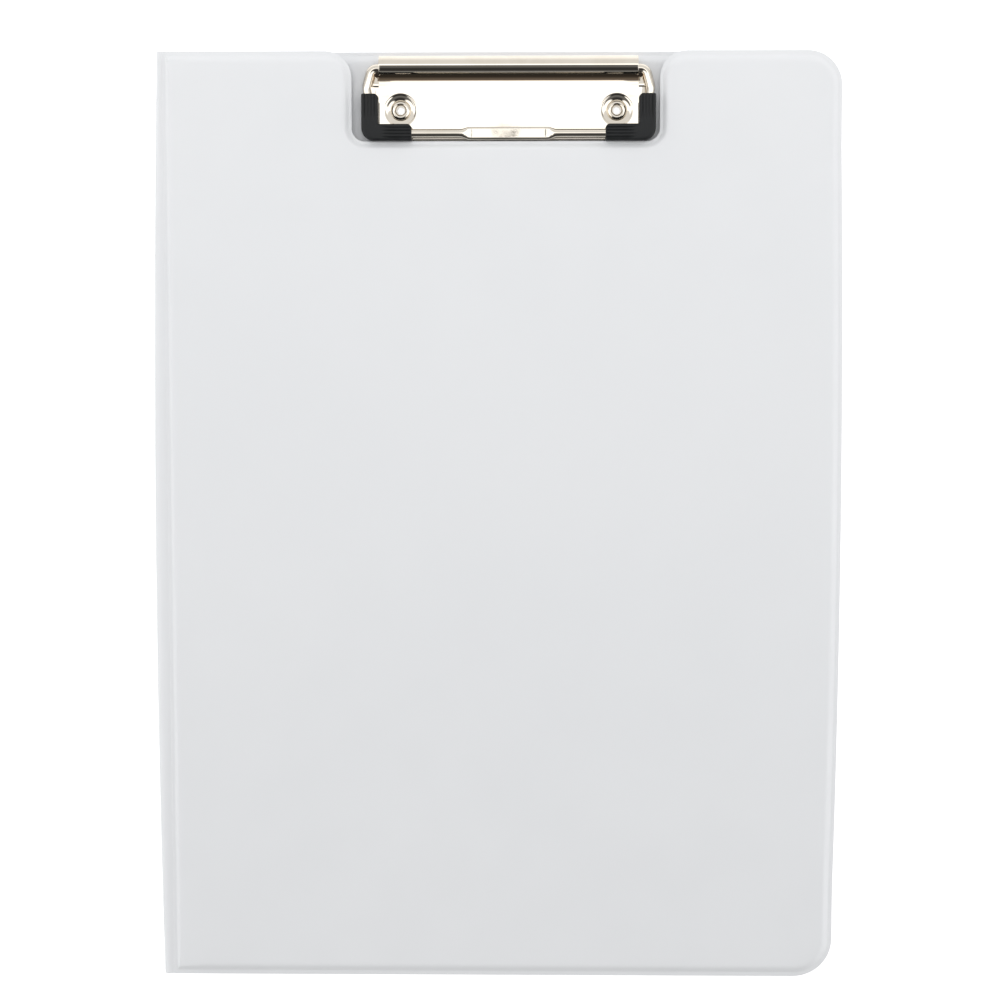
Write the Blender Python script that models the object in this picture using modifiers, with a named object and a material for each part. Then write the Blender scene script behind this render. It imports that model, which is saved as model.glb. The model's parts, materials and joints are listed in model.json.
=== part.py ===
"""Fold-over clipboard for A4 sheets, closed, lying on its back.

Two stiff panels, each a greyboard welded between two vinyl films, are joined along the
left side by a narrow film spine. A sprung wire clip is riveted to the back panel and
stands in a notch of the front cover.

Frame: metres. The origin is the centre of the back panel's resting face, +X runs to the
free edge of the panels, +Y to the clip, and +Z up through the front cover.
"""

import math

import bmesh
import bpy
from mathutils import Matrix, Vector

# Panels
PANEL_WIDTH = 0.2340
PANEL_HEIGHT = 0.3240
CORNER_RADIUS = 0.0118
FILM = 0.0003
BOARD = 0.0016
FILM_TO_BOARD = 0.0002
PANEL_THICKNESS = 2 * FILM + BOARD + 2 * FILM_TO_BOARD
PAPER_GAP = 0.0014
WELD_RIM = 0.0014
EDGE_SLOPE = 0.0016
WELD_GAP = 0.0001
BOARD_SETBACK = WELD_RIM + EDGE_SLOPE + 0.0006

# Spine: a strip of film between two creases, one on each panel's middle plane
CREASE_X = -PANEL_WIDTH / 2
CREASE_CLEARANCE = 0.0005
BACK_MID_Z = PANEL_THICKNESS / 2
COVER_BOTTOM_Z = PANEL_THICKNESS + PAPER_GAP
COVER_MID_Z = COVER_BOTTOM_Z + PANEL_THICKNESS / 2
COVER_TOP_Z = COVER_BOTTOM_Z + PANEL_THICKNESS
SPINE_END_CLEARANCE = 0.0004
SPINE_BULGE = 0.0006

# Notch in the front cover
NOTCH_X = 0.0012
NOTCH_WIDTH = 0.1060
NOTCH_DEPTH = 0.0312
NOTCH_OUTER_RADIUS = 0.0092
NOTCH_INNER_RADIUS = 0.0045

# Pocket inside the front cover
POCKET_FILM = 0.00025
POCKET_TOP_Y = -0.0100
THUMB_CUT_RADIUS = 0.0400
THUMB_CUT_DEPTH = 0.0110

# Clip plate: one steel sheet, flat under the wire and rolled into a barrel at the top
CLIP_X = 0.0022
SHEET = 0.0007
PLATE_GAP = 0.0001
PLATE_MID_Z = PANEL_THICKNESS + PLATE_GAP + SHEET / 2
PLATE_TOP_Z = PLATE_MID_Z + SHEET / 2
PLATE_WIDTH = 0.0947
PLATE_CORNER_RADIUS = 0.0025
BARREL_LENGTH = 0.0888
BARREL_MID_RADIUS = 0.00295
BARREL_END_ANGLE = 228
HINGE_Y = PANEL_HEIGHT / 2 - 0.0050
HINGE_Z = PLATE_MID_Z + BARREL_MID_RADIUS
EAR_WIDTH = 0.0025
EAR_RISE = 0.0007

# Dishes pressed down into the plate, each with a hollow rivet through it. The liner and
# the board are cut away under a dish.
RIVET_SPACING = 0.0745
RIVET_Y = PANEL_HEIGHT / 2 - 0.0199
DISH_RADIUS = 0.0060
DISH_DEPTH = 0.0010
DISH_SHEET = SHEET - 0.0001
DISH_LIP = 0.0003
DISH_RELIEF_Z = PLATE_MID_Z - DISH_DEPTH - SHEET / 2 - PLATE_GAP
RIVET_BORE_RADIUS = 0.0016
RIVET_SHANK_RADIUS = 0.0022
RIVET_HOLE_RADIUS = 0.0025
RIVET_ROLL_RADIUS = 0.0031
RIVET_ROLL_HEIGHT = 0.0008
RIVET_ROLL_FOOT = 0.0002
RIVET_FLANGE_RADIUS = 0.0040
RIVET_FLANGE_Z = -0.0006

# Wire bail: one spring wire, with both ends cranked inside the barrel
WIRE_RADIUS = 0.0015
BAR_Y = HINGE_Y - 0.0230
PLATE_BOTTOM_Y = BAR_Y - 0.0023
FOOT_END = 0.0247
FOOT_LENGTH = 0.0045
FOOT_OFFSET = 0.0010
FOOT_RAMP = 0.0025
FOOT_RADIUS = 0.0015
TOP_BEND_X = 0.0471
TOP_BEND_RADIUS = 0.0025
SHOULDER_X = 0.0488
SHOULDER_Y = HINGE_Y - 0.0072
SHOULDER_RADIUS = 0.0060
ARM_X = 0.0481
ARM_TOP_Y = HINGE_Y - 0.0110
CORNER_BEND_RADIUS = 0.0028
FLAT_HALF_LENGTH = 0.0150
FLAT_RAMP = 0.0030
FLAT_SQUEEZE = 0.30

# Corner sleeves on the bail
SLEEVE_X = 0.0476
SLEEVE_Y = BAR_Y + 0.00025
SLEEVE_HALF_WIDTH = 0.0029
SLEEVE_HALF_HEIGHT = 0.00245
SLEEVE_TOP_Y = HINGE_Y - 0.0100
SLEEVE_END_X = 0.0337
SLEEVE_CORNER_RADIUS = 0.0050
SLEEVE_BORE_RADIUS = WIRE_RADIUS + 0.0001
GROOVE_WIDTH = 0.00050
GROOVE_DEPTH = 0.00035
GROOVE_PITCH = 0.00136
GROOVE_SETBACK = 0.0020

ARC_STEP = 15


# ---------------------------------------------------------------- scene helpers

def clear_scene():
    for obj in list(bpy.data.objects):
        bpy.data.objects.remove(obj)


def collection(name):
    found = bpy.data.collections.new(name)
    bpy.context.scene.collection.children.link(found)
    return found


def material(name, colour, roughness, metallic=0.0):
    made = bpy.data.materials.new(name)
    made.use_nodes = True
    shader = made.node_tree.nodes["Principled BSDF"]
    shader.inputs["Base Color"].default_value = (*colour, 1.0)
    shader.inputs["Roughness"].default_value = roughness
    shader.inputs["Metallic"].default_value = metallic
    return made


def place(obj, where, finish=None):
    """Moves obj into one collection only, and gives it its material."""
    for old in list(obj.users_collection):
        old.objects.unlink(obj)
    where.objects.link(obj)
    if finish:
        obj.data.materials.clear()
        obj.data.materials.append(finish)
    return obj


def helper(obj):
    """A cutter, or a shape that a Boolean joins to another."""
    place(obj, HELPERS)
    obj.hide_render = True
    obj.display_type = "WIRE"
    return obj


def object_from(name, bm):
    mesh = bpy.data.meshes.new(name)
    bm.to_mesh(mesh)
    bm.free()
    return bpy.data.objects.new(name, mesh)


def solidify(obj, thickness):
    modifier = obj.modifiers.new("thickness", "SOLIDIFY")
    modifier.thickness = thickness
    modifier.offset = 0
    modifier.use_even_offset = True
    return obj


def boolean(obj, other, operation):
    modifier = obj.modifiers.new(f"{operation.lower()} {other.name}", "BOOLEAN")
    modifier.operation = operation
    modifier.object = other
    return obj


def smooth(obj, angle=35):
    obj.data.shade_smooth()
    obj.data.set_sharp_from_angle(angle=math.radians(angle))
    return obj


# ---------------------------------------------------------------- outlines

def arc(centre, radius, start, end, step=ARC_STEP):
    """Points from one angle to another, both included, in degrees."""
    steps = max(1, round(abs(end - start) / step))
    turns = [math.radians(start + (end - start) * i / steps) for i in range(steps + 1)]
    return [(centre[0] + radius * math.cos(t), centre[1] + radius * math.sin(t)) for t in turns]


def panel_outline(inset=0.0, notched=False):
    """A panel's edge, anticlockwise: square at the spine and rounded at the free side."""
    left = CREASE_X + CREASE_CLEARANCE + inset
    right = PANEL_WIDTH / 2 - inset
    top = PANEL_HEIGHT / 2 - inset
    corner = CORNER_RADIUS - inset
    points = [(left, -top)]
    points += arc((right - corner, corner - top), corner, -90, 0)
    points += arc((right - corner, top - corner), corner, 0, 90)
    if notched:
        points += notch_outline(inset, top)
    return points + [(left, top)]


def notch_outline(inset, top):
    right = NOTCH_X + NOTCH_WIDTH / 2 + inset
    left = NOTCH_X - NOTCH_WIDTH / 2 - inset
    floor = PANEL_HEIGHT / 2 - NOTCH_DEPTH - inset
    outer = NOTCH_OUTER_RADIUS - inset
    inner = NOTCH_INNER_RADIUS + inset
    points = arc((right + outer, top - outer), outer, 90, 180)
    points += arc((right - inner, floor + inner), inner, 0, -90)
    points += arc((left + inner, floor + inner), inner, -90, -180)
    return points + arc((left - outer, top - outer), outer, 0, 90)


def flat_shape(name, outline, low, high):
    """A closed slab from a flat outline."""
    bm = bmesh.new()
    face = bm.faces.new([bm.verts.new((x, y, low)) for x, y in outline])
    made = bmesh.ops.extrude_face_region(bm, geom=[face], use_keep_orig=True)["geom"]
    raised = [item for item in made if isinstance(item, bmesh.types.BMVert)]
    bmesh.ops.translate(bm, vec=(0, 0, high - low), verts=raised)
    bmesh.ops.recalc_face_normals(bm, faces=bm.faces)
    return object_from(name, bm)


def tube(name, path, radius, sides):
    """A round wire along a path, with closed ends, as a mesh."""
    curve = bpy.data.curves.new(name, "CURVE")
    curve.dimensions = "3D"
    curve.bevel_depth = radius
    curve.bevel_resolution = (sides - 4) // 2
    curve.use_fill_caps = True
    spline = curve.splines.new("POLY")
    spline.points.add(len(path) - 1)
    for point, place_at in zip(spline.points, path):
        point.co = (*place_at, 1)
    return mesh_of(bpy.data.objects.new(name, curve))


def mesh_of(curve_object):
    """The curve as a mesh object, with its caps welded on."""
    bpy.context.scene.collection.objects.link(curve_object)
    bpy.context.view_layer.update()
    graph = bpy.context.evaluated_depsgraph_get()
    mesh = bpy.data.meshes.new_from_object(curve_object.evaluated_get(graph))
    bm = bmesh.new()
    bm.from_mesh(mesh)
    bmesh.ops.remove_doubles(bm, verts=bm.verts, dist=1e-6)
    bmesh.ops.recalc_face_normals(bm, faces=bm.faces)
    bm.to_mesh(mesh)
    bm.free()
    name = curve_object.name
    bpy.data.objects.remove(curve_object)
    return bpy.data.objects.new(name, mesh)


def box(name, low, high):
    bm = bmesh.new()
    bmesh.ops.create_cube(bm, size=1.0)
    size = Vector(high) - Vector(low)
    bmesh.ops.scale(bm, vec=size, verts=bm.verts)
    bmesh.ops.translate(bm, vec=(Vector(high) + Vector(low)) / 2, verts=bm.verts)
    return object_from(name, bm)


def cylinder(name, centre, radius, low, high, sides=32):
    bm = bmesh.new()
    bmesh.ops.create_cone(
        bm, cap_ends=True, segments=sides, radius1=radius, radius2=radius, depth=high - low
    )
    bmesh.ops.translate(bm, vec=(*centre, (low + high) / 2), verts=bm.verts)
    return object_from(name, bm)


def turned(name, profile, centre, closed, steps=32):
    """A profile of (radius, height) points turned about the vertical through centre."""
    bm = bmesh.new()
    points = [bm.verts.new((radius, 0, height)) for radius, height in profile]
    pairs = list(zip(points, points[1:]))
    if closed:
        pairs.append((points[-1], points[0]))
    for pair in pairs:
        bm.edges.new(pair)
    obj = object_from(name, bm)
    obj.location = (*centre, 0)
    screw = obj.modifiers.new("turn", "SCREW")
    screw.steps = steps
    screw.render_steps = steps
    screw.use_merge_vertices = True
    screw.merge_threshold = 1e-6
    screw.use_normal_calculate = True
    return obj


def pulled(name, profile, axis, start, end):
    """An open sheet: a line of points, pulled straight along X or Y."""
    bm = bmesh.new()
    if axis == "X":
        points = [bm.verts.new((start, a, b)) for a, b in profile]
        move = (end - start, 0, 0)
    else:
        points = [bm.verts.new((a, start, b)) for a, b in profile]
        move = (0, end - start, 0)
    edges = [bm.edges.new(pair) for pair in zip(points, points[1:])]
    made = bmesh.ops.extrude_edge_only(bm, edges=edges)["geom"]
    moved = [item for item in made if isinstance(item, bmesh.types.BMVert)]
    bmesh.ops.translate(bm, vec=move, verts=moved)
    bmesh.ops.recalc_face_normals(bm, faces=bm.faces)
    return object_from(name, bm)


# ---------------------------------------------------------------- panels

def film(name, outline, rim_z, flat_z, thickness=FILM):
    """A film whose welded rim runs round the panel's middle plane and steps out to the board."""
    bm = bmesh.new()
    face = bm.faces.new([bm.verts.new((x, y, rim_z)) for x, y in outline])
    for width in (WELD_RIM, EDGE_SLOPE):
        bmesh.ops.inset_region(
            bm, faces=[face], thickness=width, use_boundary=True, use_even_offset=True
        )
    bmesh.ops.translate(bm, vec=(0, 0, flat_z - rim_z), verts=face.verts)
    return solidify(object_from(name, bm), thickness)


def rivet_places():
    return [(CLIP_X + side * RIVET_SPACING / 2, RIVET_Y) for side in (-1, 1)]


def cut_all(obj, cutters):
    for cutter in cutters:
        boolean(obj, cutter, "DIFFERENCE")


def build_panel(prefix, mid_z, outwards, notched):
    """The two films and the greyboard of one panel. outwards is -1 where the skin faces down."""
    weld = outwards * (FILM + WELD_GAP) / 2
    face = outwards * (PANEL_THICKNESS - FILM) / 2
    outline = panel_outline(notched=notched)
    skin = film(f"{prefix}_skin", outline, mid_z + weld, mid_z + face)
    liner = film(f"{prefix}_liner", outline, mid_z - weld, mid_z - face)
    board_outline = panel_outline(BOARD_SETBACK, notched)
    board = flat_shape(f"{prefix}_board", board_outline, mid_z - BOARD / 2, mid_z + BOARD / 2)
    place(skin, PART, VINYL)
    place(liner, PART, LINER)
    place(board, PART, GREYBOARD)
    return skin, board, liner


def build_pocket():
    """A film pocket welded inside the cover along three sides, with a thumb cut in its mouth."""
    liner_weld_z = COVER_MID_Z - WELD_GAP / 2 - FILM
    rim_z = liner_weld_z - WELD_GAP - POCKET_FILM / 2
    flat_z = COVER_BOTTOM_Z - WELD_GAP - POCKET_FILM / 2
    pocket = film("cover_pocket", panel_outline(), rim_z, flat_z, POCKET_FILM)
    above = helper(box(
        "above_pocket",
        (CREASE_X - 0.01, POCKET_TOP_Y, 0),
        (-CREASE_X + 0.01, PANEL_HEIGHT, COVER_TOP_Z),
    ))
    thumb_y = POCKET_TOP_Y + THUMB_CUT_RADIUS - THUMB_CUT_DEPTH
    thumb = helper(cylinder("thumb_cut", (0, thumb_y), THUMB_CUT_RADIUS, 0, COVER_TOP_Z, 64))
    boolean(pocket, above, "DIFFERENCE")
    boolean(pocket, thumb, "DIFFERENCE")
    return place(pocket, PART, POCKET)


def build_spine():
    """Two strips of film that bow out a little between the creases."""
    half = (COVER_MID_Z - BACK_MID_Z) / 2 - SPINE_END_CLEARANCE
    radius = (half ** 2 + SPINE_BULGE ** 2) / (2 * SPINE_BULGE)
    centre = (CREASE_X - SPINE_BULGE + radius, (BACK_MID_Z + COVER_MID_Z) / 2)
    swing = math.degrees(math.asin(half / radius))
    strips = []
    for name, offset, finish in (("spine_skin", 1, VINYL), ("spine_liner", -1, LINER)):
        strip_radius = radius + offset * (FILM + WELD_GAP) / 2
        profile = arc(centre, strip_radius, 180 - swing, 180 + swing, swing / 3)
        strip = pulled(name, profile, "Y", -PANEL_HEIGHT / 2, PANEL_HEIGHT / 2)
        strips.append(place(solidify(strip, FILM), PART, finish))
    return strips


# ---------------------------------------------------------------- clip

def build_clip_plate():
    """Flat sheet, barrel, ears and dishes joined into one pressing."""
    barrel = arc(
        (HINGE_Y, HINGE_Z), BARREL_MID_RADIUS, -90, BARREL_END_ANGLE, step=12
    )
    profile = [(PLATE_BOTTOM_Y, PLATE_MID_Z), *barrel]
    half = PLATE_WIDTH / 2
    plate = pulled("clip_plate", profile, "X", CLIP_X - half, CLIP_X + half)
    solidify(plate, SHEET)
    boolean(plate, plate_trim(), "INTERSECT")
    for side in (-1, 1):
        boolean(plate, barrel_end_cutter(side), "DIFFERENCE")
    for index, centre in enumerate(rivet_places()):
        low, high = PLATE_MID_Z - SHEET, PLATE_MID_Z + SHEET
        opening = cylinder(f"dish_opening_{index}", centre, DISH_RADIUS - DISH_LIP, low, high)
        boolean(plate, helper(opening), "DIFFERENCE")
        boolean(plate, dish(f"dish_{index}", centre), "UNION")
    for side in (-1, 1):
        boolean(plate, ear(side), "UNION")
    smooth(place(plate, PART, NICKEL))


def plate_trim():
    """A prism with the plate's outline, to round the two corners under the sleeves."""
    half = PLATE_WIDTH / 2 - 0.00005
    corner = PLATE_CORNER_RADIUS
    low = PLATE_BOTTOM_Y + 0.00005
    high = HINGE_Y + 0.010
    outline = arc((CLIP_X - half + corner, low + corner), corner, 180, 270)
    outline += arc((CLIP_X + half - corner, low + corner), corner, 270, 360)
    outline += [(CLIP_X + half, high), (CLIP_X - half, high)]
    return helper(flat_shape("plate_trim", outline, 0.0, 0.020))


def barrel_end_cutter(side):
    """Cuts the roll short of the plate's edge, and leaves the flat ear under the wire."""
    inner, outer = sorted((CLIP_X + side * BARREL_LENGTH / 2, CLIP_X + side * PLATE_WIDTH))
    low = (inner, HINGE_Y - 0.0040, PLATE_TOP_Z + 0.00005)
    high = (outer, HINGE_Y + 0.0040, 0.020)
    return helper(box(f"barrel_end_{'left' if side < 0 else 'right'}", low, high))


def dish(name, centre):
    """The sunk seat of a rivet, a little thinner than the sheet so that it joins cleanly."""
    floor = RIVET_ROLL_RADIUS + RIVET_ROLL_FOOT
    wall = DISH_RADIUS - 2 * DISH_LIP - floor
    profile = [
        (RIVET_HOLE_RADIUS, 1.0),
        (floor, 1.0),
        (floor + 0.25 * wall, 0.92),
        (floor + 0.50 * wall, 0.70),
        (floor + 0.75 * wall, 0.38),
        (floor + wall, 0.12),
        (DISH_RADIUS - DISH_LIP, 0.03),
        (DISH_RADIUS, 0.0),
    ]
    profile = [(radius, PLATE_MID_Z - DISH_DEPTH * share) for radius, share in profile]
    obj = turned(name, profile, centre, closed=False)
    return helper(solidify(obj, DISH_SHEET))


def ear(side):
    """A small pressed pad beside the barrel's end, under the bend of the wire."""
    reach = BARREL_LENGTH / 2 + 0.0005
    inner, outer = sorted((CLIP_X + side * reach, CLIP_X + side * (reach + EAR_WIDTH)))
    low = (inner, HINGE_Y - 0.0065, PLATE_MID_Z)
    high = (outer, HINGE_Y - 0.0015, PLATE_TOP_Z + EAR_RISE)
    return helper(box(f"ear_{'left' if side < 0 else 'right'}", low, high))


def build_rivet(name, centre):
    """A hollow rivet, flanged behind the board and rolled over in the dish."""
    seat = PLATE_MID_Z - DISH_DEPTH + SHEET / 2 + PLATE_GAP
    bore, shank, flange = RIVET_BORE_RADIUS, RIVET_SHANK_RADIUS, RIVET_FLANGE_RADIUS
    roll_mid = (bore + RIVET_ROLL_RADIUS) / 2
    roll_half = (RIVET_ROLL_RADIUS - bore) / 2
    crown = (RIVET_ROLL_HEIGHT - RIVET_ROLL_FOOT) / roll_half
    roll = [
        (radius, seat + RIVET_ROLL_FOOT + height * crown)
        for radius, height in arc((roll_mid, 0.0), roll_half, 0, 180, 30)
    ]
    profile = [
        (bore, RIVET_FLANGE_Z / 2),
        (bore - RIVET_FLANGE_Z / 2, RIVET_FLANGE_Z),
        (flange + RIVET_FLANGE_Z / 2, RIVET_FLANGE_Z),
        (flange, RIVET_FLANGE_Z / 2),
        (flange, -PLATE_GAP),
        (shank, -PLATE_GAP),
        (shank, seat),
        (RIVET_ROLL_RADIUS - RIVET_ROLL_FOOT, seat),
        *roll,
    ]
    rivet = turned(name, profile, centre, closed=True)
    smooth(place(rivet, PART, NICKEL))


def bail_path():
    """The wire's centre line, from one tip in the barrel to the other."""
    foot_turn = FOOT_END + FOOT_LENGTH
    left = rounded([
        (-FOOT_END, HINGE_Y + FOOT_OFFSET, 0),
        (-foot_turn, HINGE_Y + FOOT_OFFSET, FOOT_RADIUS),
        (-foot_turn - FOOT_RAMP, HINGE_Y - FOOT_OFFSET, FOOT_RADIUS),
        (-TOP_BEND_X, HINGE_Y - FOOT_OFFSET, TOP_BEND_RADIUS),
        (-SHOULDER_X, SHOULDER_Y, SHOULDER_RADIUS),
        (-ARM_X, ARM_TOP_Y, SHOULDER_RADIUS),
        (-ARM_X, BAR_Y, CORNER_BEND_RADIUS),
        (-FLAT_HALF_LENGTH - FLAT_RAMP, BAR_Y, 0),
        (-FLAT_HALF_LENGTH, BAR_Y, 0),
    ])
    right = [(-x, y) for x, y in reversed(left)]
    return [(CLIP_X + x, y, HINGE_Z) for x, y in left + right]


def rounded(corners):
    """A line through corners, each an (x, y, radius), with every bend drawn as an arc."""
    points = [corners[0][:2]]
    for before, corner, after in zip(corners, corners[1:], corners[2:]):
        points += bend(Vector(before[:2]), Vector(corner[:2]), Vector(after[:2]), corner[2])
    return points + [corners[-1][:2]]


def bend(before, corner, after, radius):
    """The arc that rounds a corner, or the corner itself where it has no radius."""
    if not radius:
        return [tuple(corner)]
    back = (before - corner).normalized()
    onward = (after - corner).normalized()
    half = back.angle(onward) / 2
    centre = corner + (back + onward).normalized() * radius / math.sin(half)
    start = corner + back * radius / math.tan(half) - centre
    finish = corner + onward * radius / math.tan(half) - centre
    first = math.degrees(math.atan2(start.y, start.x))
    turn = math.degrees(-start.angle_signed(finish))
    return arc(centre, radius, first, first + turn)


def flatten_bar(obj):
    """Presses the middle of the bar flat, wider and thinner than the round wire."""
    for vertex in obj.data.vertices:
        from_middle = abs(vertex.co.x - CLIP_X)
        if vertex.co.y > BAR_Y + 2 * WIRE_RADIUS or from_middle > FLAT_HALF_LENGTH + FLAT_RAMP / 2:
            continue
        vertex.co.z = HINGE_Z + (vertex.co.z - HINGE_Z) * (1 - FLAT_SQUEEZE)
        vertex.co.y = BAR_Y + (vertex.co.y - BAR_Y) * (1 + FLAT_SQUEEZE / 2)


def build_bail():
    bail = tube("wire_bail", bail_path(), WIRE_RADIUS, 12)
    flatten_bar(bail)
    return smooth(place(bail, PART, NICKEL), 50)


def build_sleeve(name, side):
    """An L-shaped sleeve over one corner of the bail, ribbed along both legs."""
    half = SLEEVE_HALF_WIDTH
    outer, inner = SLEEVE_X + half, SLEEVE_X - half
    bottom, top = SLEEVE_Y - half, SLEEVE_Y + half
    corner = SLEEVE_CORNER_RADIUS
    outline = [(outer, SLEEVE_TOP_Y), (inner, SLEEVE_TOP_Y), (inner, top)]
    outline += [(SLEEVE_END_X, top), (SLEEVE_END_X, bottom)]
    outline += arc((outer - corner, bottom + corner), corner, -90, 0)
    outline = [(CLIP_X + side * x, y) for x, y in outline]
    low, high = HINGE_Z - SLEEVE_HALF_HEIGHT, HINGE_Z + SLEEVE_HALF_HEIGHT
    sleeve = flat_shape(name, outline, low, high)
    rounding = sleeve.modifiers.new("rounding", "BEVEL")
    rounding.width = 0.0006
    rounding.segments = 2
    rounding.limit_method = "ANGLE"
    boolean(sleeve, grooves(name, side), "DIFFERENCE")
    boolean(sleeve, BAIL_BORE, "DIFFERENCE")
    return smooth(place(sleeve, PART, RUBBER))


def grooves(name, side):
    """Three grooves along the top of each leg, cut past the leg's end."""
    bm = bmesh.new()
    past = 0.0010
    top = HINGE_Z + SLEEVE_HALF_HEIGHT
    side_start = SLEEVE_Y + SLEEVE_HALF_WIDTH + GROOVE_SETBACK
    bar_start = SLEEVE_X - SLEEVE_HALF_WIDTH - GROOVE_SETBACK
    side_length = SLEEVE_TOP_Y + past - side_start
    bar_length = bar_start - (SLEEVE_END_X - past)
    for index in (-1, 0, 1):
        offset = index * GROOVE_PITCH
        along_side = (SLEEVE_X + offset, side_start + side_length / 2)
        along_bar = (bar_start - bar_length / 2, SLEEVE_Y + offset)
        for centre, size in (
            (along_side, (GROOVE_WIDTH, side_length)),
            (along_bar, (bar_length, GROOVE_WIDTH)),
        ):
            at = Matrix.Translation((CLIP_X + side * centre[0], centre[1], top))
            scale = Matrix.Diagonal((*size, 2 * GROOVE_DEPTH, 1))
            bmesh.ops.create_cube(bm, size=1.0, matrix=at @ scale)
    return helper(object_from(f"{name}_grooves", bm))


# ---------------------------------------------------------------- joints

def pivot(name, where, pieces, parent=None):
    """An empty on a joint's axis, which carries the pieces that turn about it."""
    empty = bpy.data.objects.new(name, None)
    empty.empty_display_size = 0.01
    PART.objects.link(empty)
    hang(empty, where, parent)
    for piece in pieces:
        piece.parent = empty
        piece.matrix_parent_inverse = Matrix.Translation(where).inverted()
    return empty


def hang(empty, where, parent):
    """Places an empty in the world, under the parent empty if it has one."""
    empty.location = Vector(where)
    if parent:
        empty.parent = parent
        empty.location -= parent.location


# ---------------------------------------------------------------- assembly

clear_scene()
PART = collection("clipboard")
HELPERS = collection("helpers")

VINYL = material("white_vinyl", (0.80, 0.81, 0.83), 0.38)
LINER = material("white_liner", (0.78, 0.79, 0.81), 0.45)
POCKET = material("pocket_vinyl", (0.74, 0.76, 0.79), 0.30)
GREYBOARD = material("greyboard", (0.42, 0.39, 0.34), 0.90)
NICKEL = material("nickel_plate", (0.80, 0.77, 0.72), 0.12, 1.0)
RUBBER = material("black_rubber", (0.02, 0.02, 0.022), 0.55)

RIVET_HOLES = [
    helper(cylinder(f"rivet_hole_{index}", centre, RIVET_HOLE_RADIUS, -0.001, 0.004, 24))
    for index, centre in enumerate(rivet_places())
]
DISH_RELIEFS = [
    helper(cylinder(f"dish_relief_{index}", centre, DISH_RADIUS, DISH_RELIEF_Z, 0.004, 32))
    for index, centre in enumerate(rivet_places())
]
BAIL_BORE = helper(tube("bail_bore", bail_path(), SLEEVE_BORE_RADIUS, 12))

back_skin, back_board, back_liner = build_panel("back", BACK_MID_Z, -1, notched=False)
for layer in (back_skin, back_board, back_liner):
    cut_all(layer, RIVET_HOLES)
for layer in (back_board, back_liner):
    cut_all(layer, DISH_RELIEFS)
cover_layers = build_panel("cover", COVER_MID_Z, 1, notched=True)
pocket = build_pocket()
spine_strips = build_spine()
build_clip_plate()
for label, spot in zip(("rivet_left", "rivet_right"), rivet_places()):
    build_rivet(label, spot)
bail = build_bail()
sleeves = [build_sleeve("sleeve_left", -1), build_sleeve("sleeve_right", 1)]

spine_fold = pivot("spine_fold", (CREASE_X, 0, BACK_MID_Z), spine_strips)
pivot("cover_fold", (CREASE_X, 0, COVER_MID_Z), [*cover_layers, pocket], spine_fold)
pivot("bail_lift", (CLIP_X, HINGE_Y, HINGE_Z), [bail, *sleeves])
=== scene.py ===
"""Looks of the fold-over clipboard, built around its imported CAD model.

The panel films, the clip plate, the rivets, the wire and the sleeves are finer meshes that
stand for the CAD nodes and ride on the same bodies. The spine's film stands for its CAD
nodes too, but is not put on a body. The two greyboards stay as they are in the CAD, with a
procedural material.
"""

import json
import math

import bmesh
import bpy
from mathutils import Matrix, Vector, geometry, noise


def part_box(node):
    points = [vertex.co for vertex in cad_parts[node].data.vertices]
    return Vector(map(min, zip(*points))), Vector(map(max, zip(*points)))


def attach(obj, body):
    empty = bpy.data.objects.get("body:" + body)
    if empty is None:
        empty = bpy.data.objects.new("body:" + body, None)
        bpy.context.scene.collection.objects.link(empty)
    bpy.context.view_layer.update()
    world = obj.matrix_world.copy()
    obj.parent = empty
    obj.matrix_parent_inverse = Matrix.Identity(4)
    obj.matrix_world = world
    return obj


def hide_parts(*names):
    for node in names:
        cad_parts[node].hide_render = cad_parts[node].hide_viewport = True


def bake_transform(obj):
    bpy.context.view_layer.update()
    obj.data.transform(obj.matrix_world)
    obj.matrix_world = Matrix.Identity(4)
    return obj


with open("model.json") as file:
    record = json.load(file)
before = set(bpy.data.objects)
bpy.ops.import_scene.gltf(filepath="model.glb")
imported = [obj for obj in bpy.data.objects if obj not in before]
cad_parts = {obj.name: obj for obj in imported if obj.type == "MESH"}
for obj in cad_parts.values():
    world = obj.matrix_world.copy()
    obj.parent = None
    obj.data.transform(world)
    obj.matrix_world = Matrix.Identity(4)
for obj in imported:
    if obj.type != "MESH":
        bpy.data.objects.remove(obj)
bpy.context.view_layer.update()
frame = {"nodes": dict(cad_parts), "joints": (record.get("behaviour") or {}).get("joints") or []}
MM = 0.001


# ---------------------------------------------------------------- places, from the frame

PIVOT = {joint["name"]: Vector(joint["pos_m"]) for joint in frame["joints"]}

COVER_LOW, COVER_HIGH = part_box("cover_skin")
COVER_BOTTOM_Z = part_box("cover_liner")[0].z
COVER_TOP_Z = COVER_HIGH.z
COVER_MID_Z = PIVOT["cover_fold"].z
BACK_BOTTOM_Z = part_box("back_skin")[0].z
BACK_TOP_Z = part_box("back_liner")[1].z
BACK_MID_Z = PIVOT["spine_fold"].z
CREASE_X = PIVOT["cover_fold"].x
PANEL_LEFT = COVER_LOW.x
PANEL_RIGHT = COVER_HIGH.x
PANEL_TOP = COVER_HIGH.y
FILM = 0.30 * MM
WELD_GAP = 0.10 * MM
TOP_CORNER_RADIUS = 11.8 * MM
LOW_CORNER_RADIUS = 13.5 * MM

# the notch in the front cover
NOTCH_X = 1.2 * MM
NOTCH_HALF = 53.0 * MM
NOTCH_FLOOR = PANEL_TOP - 30.75 * MM
NOTCH_OUTER_RADIUS = 9.2 * MM
NOTCH_INNER_RADIUS = 4.5 * MM

# the pocket inside the front cover
POCKET_FILM = 0.25 * MM
POCKET_TOP_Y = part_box("cover_pocket")[1].y
THUMB_RADIUS = 40.0 * MM
THUMB_DEPTH = 11.0 * MM

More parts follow.
